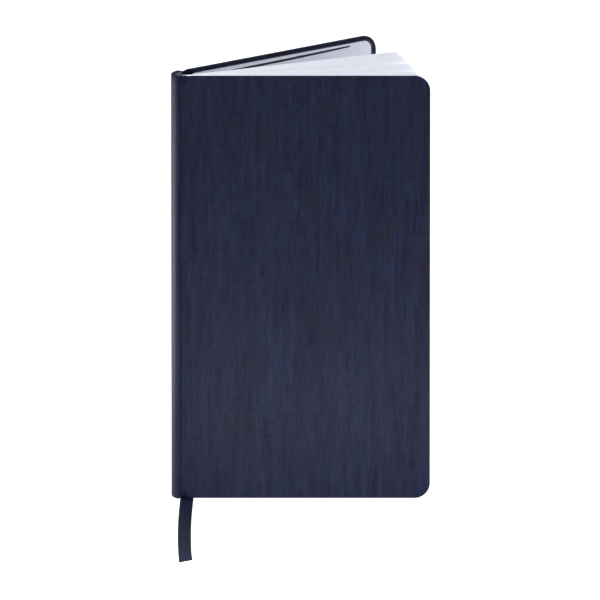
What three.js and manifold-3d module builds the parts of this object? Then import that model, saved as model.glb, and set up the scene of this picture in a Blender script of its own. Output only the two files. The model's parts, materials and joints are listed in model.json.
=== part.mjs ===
// A hardcover pocket logbook that stands on its bottom edges, with its back cover and its leaves fanned open.
// Millimetres. +Z is up, the front cover faces -Y, and the spine is at the low-X end.
// The book is laid out closed, in book coordinates: x from the spine, y from the front face, z from the floor.
// The back joint and cover and the sections are then turned about their upright fold lines to the standing pose.
import * as THREE from 'three';
import { mergeVertices } from 'three/addons/utils/BufferGeometryUtils.js';
import Module from 'manifold-3d';

// Driving dimensions
const COVER_WIDTH = 127;
const COVER_HEIGHT = 213.5;
const CLOSED_THICKNESS = 13.4;
const CORNER_RADIUS = 7.6;
const BOARD_THICKNESS = 1.7;
const CLOTH = 0.25;
const PAPER = 0.15;
const LAYER_GAP = 0.1;
const TURN_IN = 15;
const RIBBON_LIFT = 0.35;

// Spine and joints
const SPINE_SAGITTA = 3;
const SPINE_CLOTH_END = 3.9;
const SPINE_FOLD_X = 4.1;
const GROOVE_DEPTH = 1.1;
const JOINT_CLOTH_END = 8.9;
const BOARD_CLOTH_START = 9.3;
const FOLD_OUTSIDE = 0.3;
const JOINT_CLOTH_DIP = 0.8;
const GROOVE_X = 5.75;
const GROOVE_SPINE_CURVE = 0.6;
const GROOVE_BOARD_CURVE = 1.6;

// Layers inside the rounded back: depths under the cloth's face, and half-widths
const STIFFENER = { out: 0.35, in: 0.85, half: 5.7 };
const LINING = { out: 1.1, in: 1.25, half: 3.6 };
const MULL = { out: 1.35, in: 1.55, half: 3.4 };
const THREAD = { out: 1.65, in: 1.9, half: 2.9 };
const STIFFENER_INSET = 1;
const LINING_INSET = 2;
const MULL_INSET = 10;
const STATIONS = 5;
const STATION_INSET = 18;
const THREAD_WIDTH = 1.2;
const BAND_RADIUS = 0.6;
const BAND_DEPTH = 0.9;
const BAND_HALF_ANGLE = 0.42;

// Text block
const LEAF_SQUARE = 1.5;
const LEAF_EDGE_X = 122.4;
const FIRST_SECTION_Y = 3.4;
const SECTION_PITCH = 0.8;
const SECTION_THICKNESS = 0.6;
// How far each section's fore-edge is drawn in, as the hollow opposite a rounded back
const FORE_EDGE_HOLLOW = [0.3, 1, 1.7, 2.6, 2.7, 2.1, 1.7, 1.1];
const GUTTER_X = 9.4;
const GUTTER_CLEAR = 2.1;
const BACK_OF_FOLDS = 2;
const FOLDS_END_X = 9.9;

// Endpapers and pocket, as distances in from the cover's head, tail and fore-edge
const LINER_START_X = 12.5;
const LINER_HEAD_INSET = 1.6;
const LINER_EDGE_INSET = 2.9;
const LINER_CORNER = 4.5;
const POCKET_CARD = 0.25;
const SLOT_BELOW_HEAD = 3.3;
const SLOT_HEIGHT = 0.9;
const SLOT_START_X = 22;
const SLOT_END_X = 109.4;
const GUSSET_WIDTH = 5;

// Ribbon marker
const RIBBON_WIDTH = 6.5;
const RIBBON_THICKNESS = 0.2;
const RIBBON_X = 7.6;
const RIBBON_TAIL = 122;
const RIBBON_SLANT = 5;
const RIBBON_BOW = 0.9;
const RIBBON_TAIL_START = 2.9;
const RIBBON_FOOT = 0.5;
const RIBBON_BELOW_HEAD = 0.5;

// Standing pose: how far the back cover is open at its spine fold, and each section's share of that angle
const BACK_COVER_ANGLE = 39.3;
const SECTION_SHARES = [0.048, 0.097, 0.14, 0.275, 0.343, 0.503, 0.58, 0.6575];

// Worked out from the dimensions above
const MIDDLE_Y = CLOSED_THICKNESS / 2;
const SPINE_RADIUS = (MIDDLE_Y ** 2 + SPINE_SAGITTA ** 2) / (2 * SPINE_SAGITTA);
const BOARD_OUT = CLOTH + LAYER_GAP;
const BOARD_IN = BOARD_OUT + BOARD_THICKNESS;
const WRAP_THICKNESS = BOARD_IN + LAYER_GAP + CLOTH;
const LINER_OUT = WRAP_THICKNESS + LAYER_GAP;
const LINER_IN = LINER_OUT + PAPER;
const LEAF_TOP = COVER_HEIGHT - LEAF_SQUARE;
const BLOCK_FRONT_Y = FIRST_SECTION_Y + LAYER_GAP;
const BLOCK_BACK_Y = CLOSED_THICKNESS - BLOCK_FRONT_Y;
const DEGREES = Math.PI / 180;

const wasm = await Module();
wasm.setup();

// Colour, roughness and metalness of each finish
const FINISHES = {
  cover_cloth: { color: 0x2c2e42, roughness: 0.8, metalness: 0 },
  board: { color: 0x8a857c, roughness: 0.9, metalness: 0 },
  card: { color: 0xb8b2a4, roughness: 0.85, metalness: 0 },
  mull: { color: 0xe6e2d6, roughness: 0.95, metalness: 0 },
  thread: { color: 0xf0eee6, roughness: 0.7, metalness: 0 },
  leaf_paper: { color: 0xe6ebf5, roughness: 0.85, metalness: 0 },
  grey_paper: { color: 0xc0c4cf, roughness: 0.8, metalness: 0 },
  pocket_cloth: { color: 0x23263a, roughness: 0.9, metalness: 0 },
  ribbon: { color: 0x272b47, roughness: 0.45, metalness: 0 },
};

function named(name, finish, geometry) {
  const material = new THREE.MeshStandardMaterial(FINISHES[finish]);
  const mesh = new THREE.Mesh(geometry, material);
  mesh.name = name;
  return mesh;
}

// A shape drawn in X and Z becomes a flat sheet that fills y from low to high.
function sheet(shape, low, high, curveSegments = 8) {
  const geometry = new THREE.ExtrudeGeometry(shape, { depth: high - low, bevelEnabled: false, curveSegments });
  geometry.rotateX(Math.PI / 2);
  geometry.translate(0, high, 0);
  return geometry;
}

// A shape drawn in X and Y becomes an upright prism that fills z from low to high.
function upright(shape, low, high, curveSegments = 12) {
  const geometry = new THREE.ExtrudeGeometry(shape, { depth: high - low, bevelEnabled: false, curveSegments });
  geometry.translate(0, 0, low);
  return geometry;
}

// A cover outline: square at the joint, and rounded at the two fore-edge corners.
function coverOutline(left, right, bottom, top, radius) {
  const shape = new THREE.Shape();
  shape.moveTo(left, bottom);
  shape.lineTo(right - radius, bottom);
  shape.absarc(right - radius, bottom + radius, radius, -Math.PI / 2, 0);
  shape.lineTo(right, top - radius);
  shape.absarc(right - radius, top - radius, radius, 0, Math.PI / 2);
  shape.lineTo(left, top);
  shape.closePath();
  return shape;
}

function rectangle(left, right, bottom, top) {
  const shape = new THREE.Shape();
  shape.moveTo(left, bottom);
  shape.lineTo(right, bottom);
  shape.lineTo(right, top);
  shape.lineTo(left, top);
  shape.closePath();
  return shape;
}

function toSolid(geometry) {
  const bare = geometry.clone();
  bare.deleteAttribute('normal');
  bare.deleteAttribute('uv');
  const merged = mergeVertices(bare, 1e-5);
  const mesh = new wasm.Mesh({
    numProp: 3,
    vertProperties: new Float32Array(merged.attributes.position.array),
    triVerts: new Uint32Array(merged.index.array),
  });
  return new wasm.Manifold(mesh);
}

function toGeometry(solid) {
  const mesh = solid.getMesh();
  const geometry = new THREE.BufferGeometry();
  geometry.setAttribute('position', new THREE.BufferAttribute(new Float32Array(mesh.vertProperties), 3));
  geometry.setIndex(new THREE.BufferAttribute(new Uint32Array(mesh.triVerts), 1));
  geometry.computeVertexNormals();
  return geometry;
}

// Turns a front-cover piece into the matching back-cover piece of the closed book.
function mirrored(geometry) {
  const solid = toSolid(geometry).mirror([0, 1, 0]);
  return toGeometry(solid).translate(0, CLOSED_THICKNESS, 0);
}

// Cloth glued over a board: the outer face, three edges, and turn-ins that frame the inner face.
function coverCloth(bottom) {
  const inset = BOARD_OUT - LAYER_GAP;
  const open = BOARD_CLOTH_START - 1;
  const outer = coverOutline(BOARD_CLOTH_START, COVER_WIDTH, bottom, COVER_HEIGHT, CORNER_RADIUS);
  const cavity = coverOutline(
    open,
    COVER_WIDTH - inset,
    bottom + inset,
    COVER_HEIGHT - inset,
    CORNER_RADIUS - inset,
  );
  const window = rectangle(open, COVER_WIDTH - TURN_IN, bottom + TURN_IN, COVER_HEIGHT - TURN_IN);
  const wrap = toSolid(sheet(outer, 0, WRAP_THICKNESS))
    .subtract(toSolid(sheet(cavity, CLOTH, BOARD_IN + LAYER_GAP)))
    .subtract(toSolid(sheet(window, BOARD_IN, WRAP_THICKNESS + 1)));
  return toGeometry(wrap);
}

function board(bottom) {
  const outline = coverOutline(
    BOARD_CLOTH_START + LAYER_GAP,
    COVER_WIDTH - BOARD_OUT,
    bottom + BOARD_OUT,
    COVER_HEIGHT - BOARD_OUT,
    CORNER_RADIUS - BOARD_OUT,
  );
  return sheet(outline, BOARD_OUT, BOARD_IN);
}

// The sheet pasted inside a cover, with a narrow frame of turned-in cloth left round it.
function linerOutline(bottom) {
  return coverOutline(
    LINER_START_X,
    COVER_WIDTH - LINER_EDGE_INSET,
    bottom + LINER_HEAD_INSET,
    COVER_HEIGHT - LINER_HEAD_INSET,
    LINER_CORNER,
  );
}

// The pocket's front card, with a round-ended slot along its head.
function pocketPanel() {
  const outline = linerOutline(0);
  const radius = SLOT_HEIGHT / 2;
  const middle = COVER_HEIGHT - SLOT_BELOW_HEAD;
  const slot = new THREE.Path();
  slot.moveTo(SLOT_START_X + radius, middle - radius);
  slot.lineTo(SLOT_END_X - radius, middle - radius);
  slot.absarc(SLOT_END_X - radius, middle, radius, -Math.PI / 2, Math.PI / 2);
  slot.lineTo(SLOT_START_X + radius, middle + radius);
  slot.absarc(SLOT_START_X + radius, middle, radius, Math.PI / 2, 1.5 * Math.PI);
  outline.holes.push(slot);
  const outer = LINER_IN + LAYER_GAP + PAPER + LAYER_GAP;
  return sheet(outline, outer, outer + POCKET_CARD);
}

// The pocket's folded cloth side: a U along the tail, the joint side and the fore-edge.
function pocketGusset() {
  const right = COVER_WIDTH - LINER_EDGE_INSET;
  const low = LINER_HEAD_INSET;
  const top = COVER_HEIGHT - SLOT_BELOW_HEAD - SLOT_HEIGHT;
  const shape = new THREE.Shape();
  shape.moveTo(LINER_START_X, low);
  shape.lineTo(right - LINER_CORNER, low);
  shape.absarc(right - LINER_CORNER, low + LINER_CORNER, LINER_CORNER, -Math.PI / 2, 0);
  shape.lineTo(right, top);
  shape.lineTo(right - GUSSET_WIDTH, top);
  shape.lineTo(right - GUSSET_WIDTH, low + GUSSET_WIDTH);
  shape.lineTo(LINER_START_X + GUSSET_WIDTH, low + GUSSET_WIDTH);
  shape.lineTo(LINER_START_X + GUSSET_WIDTH, top);
  shape.lineTo(LINER_START_X, top);
  shape.closePath();
  const outer = LINER_IN + LAYER_GAP;
  return sheet(shape, outer, outer + PAPER);
}

// A layer of the rounded back, between two depths under the cloth's face and up to a half-width from the middle.
function spineLayer(layer, bottom, top) {
  const centre = SPINE_RADIUS;
  const outer = SPINE_RADIUS - layer.out;
  const inner = SPINE_RADIUS - layer.in;
  const half = Math.asin(layer.half / outer);
  const shape = new THREE.Shape();
  shape.absarc(centre, MIDDLE_Y, outer, Math.PI - half, Math.PI + half);
  shape.absarc(centre, MIDDLE_Y, inner, Math.PI + half, Math.PI - half, true);
  shape.closePath();
  return upright(shape, bottom, top, 20);
}

// The spine's cloth: the rounded back with a short flat at each side, up to the spine fold lines.
function spineCloth() {
  const half = Math.asin(MIDDLE_Y / SPINE_RADIUS);
  const inner = SPINE_RADIUS - CLOTH;
  const innerHalf = Math.asin((MIDDLE_Y - CLOTH) / inner);
  const shape = new THREE.Shape();
  shape.moveTo(SPINE_CLOTH_END, CLOSED_THICKNESS);
  shape.absarc(SPINE_RADIUS, MIDDLE_Y, SPINE_RADIUS, Math.PI - half, Math.PI + half);
  shape.lineTo(SPINE_CLOTH_END, 0);
  shape.lineTo(SPINE_CLOTH_END, CLOTH);
  shape.absarc(SPINE_RADIUS, MIDDLE_Y, inner, Math.PI + innerHalf, Math.PI - innerHalf, true);
  shape.lineTo(SPINE_CLOTH_END, CLOSED_THICKNESS - CLOTH);
  shape.closePath();
  return upright(shape, 0, COVER_HEIGHT, 20);
}

// The cloth of the joint, pressed into a groove between the spine and the board.
function jointCloth() {
  const start = SPINE_FOLD_X;
  const end = JOINT_CLOTH_END;
  const early = start + GROOVE_SPINE_CURVE;
  const late = end - GROOVE_BOARD_CURVE;
  const shape = new THREE.Shape();
  shape.moveTo(start, LAYER_GAP);
  shape.quadraticCurveTo(early, GROOVE_DEPTH, GROOVE_X, GROOVE_DEPTH);
  shape.quadraticCurveTo(late, GROOVE_DEPTH, end, LAYER_GAP);
  shape.lineTo(end, LAYER_GAP + CLOTH);
  shape.quadraticCurveTo(late, GROOVE_DEPTH + CLOTH, GROOVE_X, GROOVE_DEPTH + CLOTH);
  shape.quadraticCurveTo(early, GROOVE_DEPTH + CLOTH, start, LAYER_GAP + CLOTH);
  shape.closePath();
  return upright(shape, JOINT_CLOTH_DIP, COVER_HEIGHT - JOINT_CLOTH_DIP, 6);
}

// The sewn folds, rounded and glued into one block, which holds every leaf as far as the gutter.
function sewnFolds() {
  const radius = SPINE_RADIUS - BACK_OF_FOLDS;
  const half = Math.asin((BLOCK_BACK_Y - MIDDLE_Y) / radius);
  const shape = new THREE.Shape();
  shape.moveTo(FOLDS_END_X, BLOCK_BACK_Y);
  shape.absarc(SPINE_RADIUS, MIDDLE_Y, radius, Math.PI - half, Math.PI + half);
  shape.lineTo(FOLDS_END_X, BLOCK_FRONT_Y);
  shape.closePath();
  return upright(shape, LEAF_SQUARE, LEAF_TOP, 16);
}

// A round band sewn over the folds at the head or the tail.
function endBand(middleZ) {
  const radius = SPINE_RADIUS - BACK_OF_FOLDS - BAND_DEPTH;
  const points = [-1, -0.5, 0, 0.5, 1].map((step) => {
    const angle = Math.PI - step * BAND_HALF_ANGLE;
    return new THREE.Vector3(
      SPINE_RADIUS + radius * Math.cos(angle),
      MIDDLE_Y + radius * Math.sin(angle),
      middleZ,
    );
  });
  const section = new THREE.Shape();
  section.absarc(0, 0, BAND_RADIUS, 0, 2 * Math.PI);
  return new THREE.ExtrudeGeometry(section, {
    steps: 12,
    curveSegments: 8,
    extrudePath: new THREE.CatmullRomCurve3(points),
  });
}

// One section's leaves, from just past the gutter to the fore-edge.
function sectionLeaves(low, thickness, hollow) {
  const outline = rectangle(GUTTER_X + GUTTER_CLEAR, LEAF_EDGE_X - hollow, LEAF_SQUARE, LEAF_TOP);
  return sheet(outline, low, low + thickness);
}

// The ribbon's free tail, flat on the floor in a slight curve, with a slanted cut end.
function ribbonTail() {
  const half = RIBBON_WIDTH / 2;
  const start = RIBBON_TAIL_START;
  const end = -RIBBON_TAIL;
  const middle = (start + end) / 2;
  const shape = new THREE.Shape();
  shape.moveTo(RIBBON_X - half, start);
  shape.quadraticCurveTo(RIBBON_X - half - 2 * RIBBON_BOW, middle, RIBBON_X - half, end - RIBBON_SLANT / 2);
  shape.lineTo(RIBBON_X + half, end + RIBBON_SLANT / 2);
  shape.quadraticCurveTo(RIBBON_X + half - 2 * RIBBON_BOW, middle, RIBBON_X + half, start);
  shape.closePath();
  return upright(shape, 0, RIBBON_THICKNESS, 20);
}

// Hangs meshes on an upright fold line, and turns them about it from the closed book's position.
function turnedAbout(x, y, angle, meshes) {
  const group = new THREE.Group();
  group.position.set(x, y, 0);
  group.rotation.z = angle * DEGREES;
  for (const mesh of meshes) {
    mesh.position.set(-x, -y, 0);
    group.add(mesh);
  }
  return group;
}

function frontCover() {
  return [
    named('front_cover_cloth', 'cover_cloth', coverCloth(RIBBON_LIFT)),
    named('front_board', 'board', board(RIBBON_LIFT)),
    named('front_pastedown', 'grey_paper', sheet(linerOutline(RIBBON_LIFT), LINER_OUT, LINER_IN)),
  ];
}

function backCover() {
  return [
    named('back_cover_cloth', 'cover_cloth', mirrored(coverCloth(0))),
    named('back_board', 'board', mirrored(board(0))),
    named('back_pastedown', 'pocket_cloth', mirrored(sheet(linerOutline(0), LINER_OUT, LINER_IN))),
    named('pocket_gusset', 'pocket_cloth', mirrored(pocketGusset())),
    named('pocket_panel', 'grey_paper', mirrored(pocketPanel())),
  ];
}

// A layer of the back that stops short of the leaves' head and tail.
function blockLayer(layer, inset) {
  return spineLayer(layer, LEAF_SQUARE + inset, LEAF_TOP - inset);
}

function spine() {
  const bandRise = LAYER_GAP + BAND_RADIUS;
  const stiffenerTop = COVER_HEIGHT - STIFFENER_INSET;
  const meshes = [
    named('spine_cloth', 'cover_cloth', spineCloth()),
    named('spine_stiffener', 'card', spineLayer(STIFFENER, STIFFENER_INSET, stiffenerTop)),
    named('spine_lining', 'card', blockLayer(LINING, LINING_INSET)),
    named('mull', 'mull', blockLayer(MULL, MULL_INSET)),
    named('sewn_folds', 'leaf_paper', sewnFolds()),
    named('headband', 'thread', endBand(LEAF_TOP + bandRise)),
    named('tailband', 'thread', endBand(LEAF_SQUARE - bandRise)),
  ];
  const firstStation = LEAF_SQUARE + STATION_INSET;
  const spacing = (LEAF_TOP - STATION_INSET - firstStation) / (STATIONS - 1);
  for (let i = 0; i < STATIONS; i += 1) {
    const z = firstStation + i * spacing;
    const stitch = spineLayer(THREAD, z - THREAD_WIDTH / 2, z + THREAD_WIDTH / 2);
    meshes.push(named(`sewing_thread_${i + 1}`, 'thread', stitch));
  }
  return meshes;
}

function frontEndpaperAndRibbon() {
  const flyleafLow = LINER_IN + PAPER;
  const flyleaf = rectangle(SPINE_FOLD_X + LAYER_GAP * 4, LEAF_EDGE_X, LEAF_SQUARE, LEAF_TOP);
  const ribbonLow = flyleafLow + PAPER + LAYER_GAP;
  const half = RIBBON_WIDTH / 2;
  const ribbon = rectangle(RIBBON_X - half, RIBBON_X + half, RIBBON_FOOT, LEAF_TOP - RIBBON_BELOW_HEAD);
  return [
    named('front_flyleaf', 'leaf_paper', sheet(flyleaf, flyleafLow, flyleafLow + PAPER)),
    named('ribbon_marker', 'ribbon', sheet(ribbon, ribbonLow, ribbonLow + RIBBON_THICKNESS)),
  ];
}

function sections() {
  return SECTION_SHARES.map((share, i) => {
    const low = FIRST_SECTION_Y + i * SECTION_PITCH;
    const middle = low + SECTION_THICKNESS / 2;
    const hollow = FORE_EDGE_HOLLOW[i];
    const meshes = [named(`section_${i + 1}`, 'leaf_paper', sectionLeaves(low, SECTION_THICKNESS, hollow))];
    if (i === SECTION_SHARES.length - 1) {
      const flyleafLow = low + SECTION_THICKNESS + LAYER_GAP;
      meshes.push(named('back_flyleaf', 'leaf_paper', sectionLeaves(flyleafLow, PAPER, hollow)));
    }
    return turnedAbout(GUTTER_X, middle, share * BACK_COVER_ANGLE, meshes);
  });
}

const book = new THREE.Group();
book.add(...spine(), ...frontEndpaperAndRibbon(), ...frontCover(), ...sections());
book.add(named('front_joint_cloth', 'cover_cloth', jointCloth()));
const backJoint = named('back_joint_cloth', 'cover_cloth', mirrored(jointCloth()));
const backSide = [backJoint, ...backCover()];
book.add(turnedAbout(SPINE_FOLD_X, CLOSED_THICKNESS + FOLD_OUTSIDE, BACK_COVER_ANGLE, backSide));

// The origin is the middle of the standing book's footprint; the ribbon's tail is left out of that box.
book.updateMatrixWorld(true);
const box = new THREE.Box3().setFromObject(book, true);
const middle = box.getCenter(new THREE.Vector3());
book.add(named('ribbon_tail', 'ribbon', ribbonTail()));
book.position.set(-middle.x, -middle.y, 0);

const logbook = new THREE.Group();
logbook.add(book);
logbook.updateMatrixWorld(true);
export default logbook;
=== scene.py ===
"""A hardcover logbook in navy book cloth, standing part open, leaves fanned and ribbon laid out.

It is laid out as an add-on and is run as a script: each operator makes one kind of piece, and main()
calls them in turn. Shapes are worked out in book coordinates, in metres: x from the spine, y from the
front face, z from the floor.
"""

import json
import math
from functools import partial

import bmesh
import bpy
import numpy as np
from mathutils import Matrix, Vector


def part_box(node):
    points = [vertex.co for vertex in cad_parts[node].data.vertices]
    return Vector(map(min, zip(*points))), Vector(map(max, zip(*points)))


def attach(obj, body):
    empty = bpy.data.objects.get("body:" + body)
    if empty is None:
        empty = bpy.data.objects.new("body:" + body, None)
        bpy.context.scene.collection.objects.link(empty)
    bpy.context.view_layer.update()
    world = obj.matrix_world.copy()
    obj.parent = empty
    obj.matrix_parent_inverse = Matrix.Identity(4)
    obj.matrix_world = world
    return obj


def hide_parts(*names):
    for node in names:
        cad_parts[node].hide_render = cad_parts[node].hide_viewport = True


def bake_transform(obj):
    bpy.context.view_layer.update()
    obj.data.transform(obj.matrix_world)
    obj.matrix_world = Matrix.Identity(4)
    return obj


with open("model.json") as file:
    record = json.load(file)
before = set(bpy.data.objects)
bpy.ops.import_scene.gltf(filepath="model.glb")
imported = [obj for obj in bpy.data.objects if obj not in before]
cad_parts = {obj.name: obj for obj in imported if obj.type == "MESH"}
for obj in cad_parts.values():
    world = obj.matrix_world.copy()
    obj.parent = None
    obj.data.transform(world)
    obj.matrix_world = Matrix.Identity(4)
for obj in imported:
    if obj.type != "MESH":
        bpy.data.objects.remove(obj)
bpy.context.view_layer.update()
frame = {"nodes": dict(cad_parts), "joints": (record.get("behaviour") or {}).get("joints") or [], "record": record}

bl_info = {
    "name": "Cloth-Bound Logbook",
    "version": (1, 0, 0),
    "blender": (4, 5, 0),
    "location": "View3D > Sidebar > Logbook",
    "description": "Makes the looks of a standing logbook round its frame",
    "category": "Object",
}

MM = 0.001
SPINE_LOW, SPINE_HIGH = (np.array(corner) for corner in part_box("spine_cloth"))
COVER_HIGH = np.array(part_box("front_cover_cloth")[1])
JOINTS = {joint["name"]: joint for joint in frame["joints"]}
SHARES = {c["joint"]: c["ratio"] for c in frame["record"]["behaviour"]["couplings"]}

# The book's own measures, read from the frame
BOOK = np.array([SPINE_LOW[0], SPINE_LOW[1], 0.0])
HEIGHT = float(SPINE_HIGH[2])
THICK = float(SPINE_HIGH[1] - SPINE_LOW[1])
WIDTH = float(COVER_HIGH[0] - SPINE_LOW[0])
WRAP = float(COVER_HIGH[1] - SPINE_LOW[1])
LIFT = float(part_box("front_cover_cloth")[0].z)
BOARD_START = float(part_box("front_cover_cloth")[0].x - BOOK[0])
LEAF_FOOT, LEAF_HEAD = (float(corner.z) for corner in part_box("section_1"))
LEAF_EDGE = float(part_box("front_flyleaf")[1].x - BOOK[0])
OPEN = -math.radians(JOINTS["back_spine_fold"]["range_deg"][0])
LINER_START = BOARD_START + 0.6 * MM
LINER_CORNER = 4.5 * MM
CORNER_AT_SPINE = 0.5 * MM
SECTIONS = 8
LEAVES = 12
GROUPS = 3

# sRGB colours of the finishes that have no setting of their own
VIOLET_THREAD = "1a1424"
GREY_THREAD = "141a20"
HEADBAND = "1d2036"
# Navy lining: its own colour, which is also painted shade inside the back joint and behind the pocket's slot
NAVY_LINING_AND_PAINTED_SHADE = "20233a"
GAUZE = "e8e4d6"
GREY_BOARD = "8c877e"
CREAM_CARD = "b9b2a2"


def axis_of(joint):
    """The x and y of an upright fold line, in book coordinates."""
    return np.array(JOINTS[joint]["pos_m"][:2]) - BOOK[:2]


BACK_SPINE_FOLD = axis_of("back_spine_fold")


# ---------------------------------------------------------------- settings


def length(name, description, millimetres):
    default = millimetres * MM
    return bpy.props.FloatProperty(name=name, description=description, default=default, unit="LENGTH")


def hex_colour(name, description, value):
    return bpy.props.StringProperty(name=name, description=f"{description}, sRGB hex", default=value)


class LogbookSizes(bpy.types.PropertyGroup):
    corner: length("Corner Radius", "Radius of the covers' corners", 7.6)
    edge: length("Edge Round", "Radius of the cloth over a board's edge", 0.7)
    cloth: length("Cloth", "Thickness of the book cloth", 0.25)
    turn_in: length("Turn-In", "Width of cloth turned over inside a cover", 15)
    liner_head: length("Liner Head Inset", "Cloth left showing at the head", 2.0)
    liner_edge: length("Liner Edge Inset", "Cloth left showing at the fore-edge", 4.2)
    leaf: length("Leaf", "Thickness of one leaf", 0.05)
    ribbon: length("Ribbon Width", "Width of the ribbon marker", 6.5)


class LogbookColours(bpy.types.PropertyGroup):
    navy: hex_colour("Navy Cloth", "Book cloth", "0a0d1e")
    navy_light: hex_colour("Navy Thread", "Raised threads of the book cloth", "1b2137")
    paper: hex_colour("Leaf Paper", "Leaves", "f1f4fb")
    liner: hex_colour("Grey Endpaper", "Liners", "c6cad6")
    ribbon: hex_colour("Ribbon", "Satin ribbon", "0d1028")
    thread: hex_colour("Thread", "Sewing thread", "efece2")


def sizes():
    return bpy.context.scene.logbook_sizes


def colours():
    return bpy.context.scene.logbook_colours


# ---------------------------------------------------------------- shapes


def grid(n, m, wrap=False):
    """The quads of an n by m grid of points; wrap joins the last row to the first."""
    index = np.arange(n * m).reshape(n, m)
    if wrap:
        index = np.concatenate([index, index[:1]])
    corners = (index[:-1, :-1], index[1:, :-1], index[1:, 1:], index[:-1, 1:])
    return np.stack([c.ravel() for c in corners], 1)


def unit_uv(n, m):
    """Each grid point's row and column as two numbers from 0 to 1."""
    u, v = np.meshgrid(np.linspace(0, 1, n), np.linspace(0, 1, m), indexing="ij")
    return np.stack([u.ravel(), v.ravel()], 1)


def slab(front, back):
    """A thin closed body: a front grid, a back grid turned over, and a strip that joins their rims."""
    n, m = front.shape[:2]
    count = n * m
    index = np.arange(count).reshape(n, m)
    rim = np.concatenate([index[:-1, 0], index[-1, :-1], index[:0:-1, -1], index[0, :0:-1]])
    after = np.roll(rim, -1)
    faces = grid(n, m)
    strip = np.stack([after, rim, rim + count, after + count], 1)
    quads = np.concatenate([faces, faces[:, ::-1] + count, strip])
    points = np.concatenate([front.reshape(-1, 3), back.reshape(-1, 3)])
    return points, quads, np.tile(unit_uv(n, m), (2, 1))


def loop_body(rings):
    """A body made of closed rings, shaped (path, profile, 3): the path closes on itself."""
    n, m = rings.shape[:2]
    return rings.reshape(-1, 3), grid(n, m, wrap=True), unit_uv(n, m)


def closed_loop_body(rings):
    """A body whose path and profile both close on themselves, as a frame does."""
    return loop_body(np.concatenate([rings, rings[:, :1]], 1))


def build(name, parts, material, sharp=40.0, weld=1e-7):
    """Makes one object from (points, quads, uv) parts in book coordinates.

    Points closer than weld are joined, which closes collapsed rings, and the normals are turned outwards.
    """
    starts = np.cumsum([0] + [len(points) for points, _, _ in parts[:-1]])
    points = np.concatenate([points for points, _, _ in parts]) + BOOK
    quads = np.concatenate([quads + start for (_, quads, _), start in zip(parts, starts)])
    uv = np.concatenate([uv for _, _, uv in parts])
    mesh = bpy.data.meshes.new(name)
    mesh.vertices.add(len(points))
    mesh.vertices.foreach_set("co", points.astype(np.float32).ravel())
    mesh.loops.add(quads.size)
    mesh.loops.foreach_set("vertex_index", quads.astype(np.int32).ravel())
    mesh.polygons.add(len(quads))
    mesh.polygons.foreach_set("loop_start", np.arange(0, quads.size, 4, dtype=np.int32))
    mesh.update(calc_edges=True)
    layer = mesh.uv_layers.new(name="surface")
    layer.uv.foreach_set("vector", uv[quads.ravel()].astype(np.float32).ravel())
    tidy = bmesh.new()
    tidy.from_mesh(mesh)
    bmesh.ops.remove_doubles(tidy, verts=tidy.verts, dist=weld)
    bmesh.ops.dissolve_degenerate(tidy, dist=weld, edges=tidy.edges)
    bmesh.ops.recalc_face_normals(tidy, faces=tidy.faces)
    tidy.to_mesh(mesh)
    tidy.free()
    mesh.polygons.foreach_set("use_smooth", np.ones(len(mesh.polygons), bool))
    mesh.set_sharp_from_angle(angle=math.radians(sharp))
    mesh.materials.append(material)
    piece = bpy.data.objects.new(name, mesh)
    bpy.context.scene.collection.objects.link(piece)
    return piece


def ease(t):
    """0 before 0, 1 after 1, and 3t^2 - 2t^3 between."""
    t = np.clip(t, 0, 1)
    return t * t * (3 - 2 * t)


def turn(points, pivot, angle):
    """Points turned about an upright line, counter-clockwise from above; angle may differ for each point."""
    c, s = np.cos(angle), np.sin(angle)
    x, y = points[..., 0] - pivot[0], points[..., 1] - pivot[1]
    return np.stack([pivot[0] + x * c - y * s, pivot[1] + x * s + y * c, points[..., 2]], -1)


def mirror(points):
    """A front-cover shape turned into the closed book's back-cover shape."""
    return points * [1, -1, 1] + [0, THICK, 0]


def opened(points):
    """Closed back-cover points at the standing book's angle."""
    return turn(points, BACK_SPINE_FOLD, OPEN)


def moved(part, change):
    """A (points, quads, uv) part with its points changed by a function."""
    points, quads, uv = part
    return change(points), quads, uv


def card_corners(left, right, low, high, radius):
    """A cover's four corners in order, as (x, z, inward x, inward z, radius, first angle)."""
    return [
        (right, low, -1, 1, radius, -90),
        (right, high, -1, -1, radius, 0),
        (left, high, 1, -1, CORNER_AT_SPINE, 90),
        (left, low, 1, 1, CORNER_AT_SPINE, 180),
    ]


def inset_rings(corners, insets, depths, arc=14, side=40):
    """Rings of a rounded card at each inset from its outline, shaped (path, profile, 3).

    A corner at inset d has its centre max(radius, d) in from both edges and the radius left over.
    A side's points run evenly from one corner's arc to the next one's, facing the same way.
    A corner rounder than 3 mm has arc points, and a sharper one has few.
    """
    few, sharper = 5, 3 * MM
    insets, depths = np.asarray(insets, float), np.asarray(depths, float)
    centres, radii = [], []
    for x, z, dx, dz, radius, _ in corners:
        reach = np.maximum(radius, insets)
        centres.append(np.stack([x + dx * reach, z + dz * reach], 1))
        radii.append(np.maximum(radius - insets, 0))
    rows = []
    for i, (_, _, _, _, radius, first) in enumerate(corners):
        after = (i + 1) % len(corners)
        steps = arc if radius > sharper else few
        for angle in np.radians(np.linspace(first, first + 90, steps)):
            facing = np.array([math.cos(angle), math.sin(angle)])
            rows.append(centres[i] + radii[i][:, None] * facing)
        here = centres[i] + radii[i][:, None] * facing
        there = centres[after] + radii[after][:, None] * facing
        for share in np.linspace(0, 1, side)[1:-1]:
            rows.append(here * (1 - share) + there * share)
    flat = np.array(rows)
    return np.stack([flat[..., 0], np.broadcast_to(depths, flat.shape[:2]), flat[..., 1]], -1)


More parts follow.
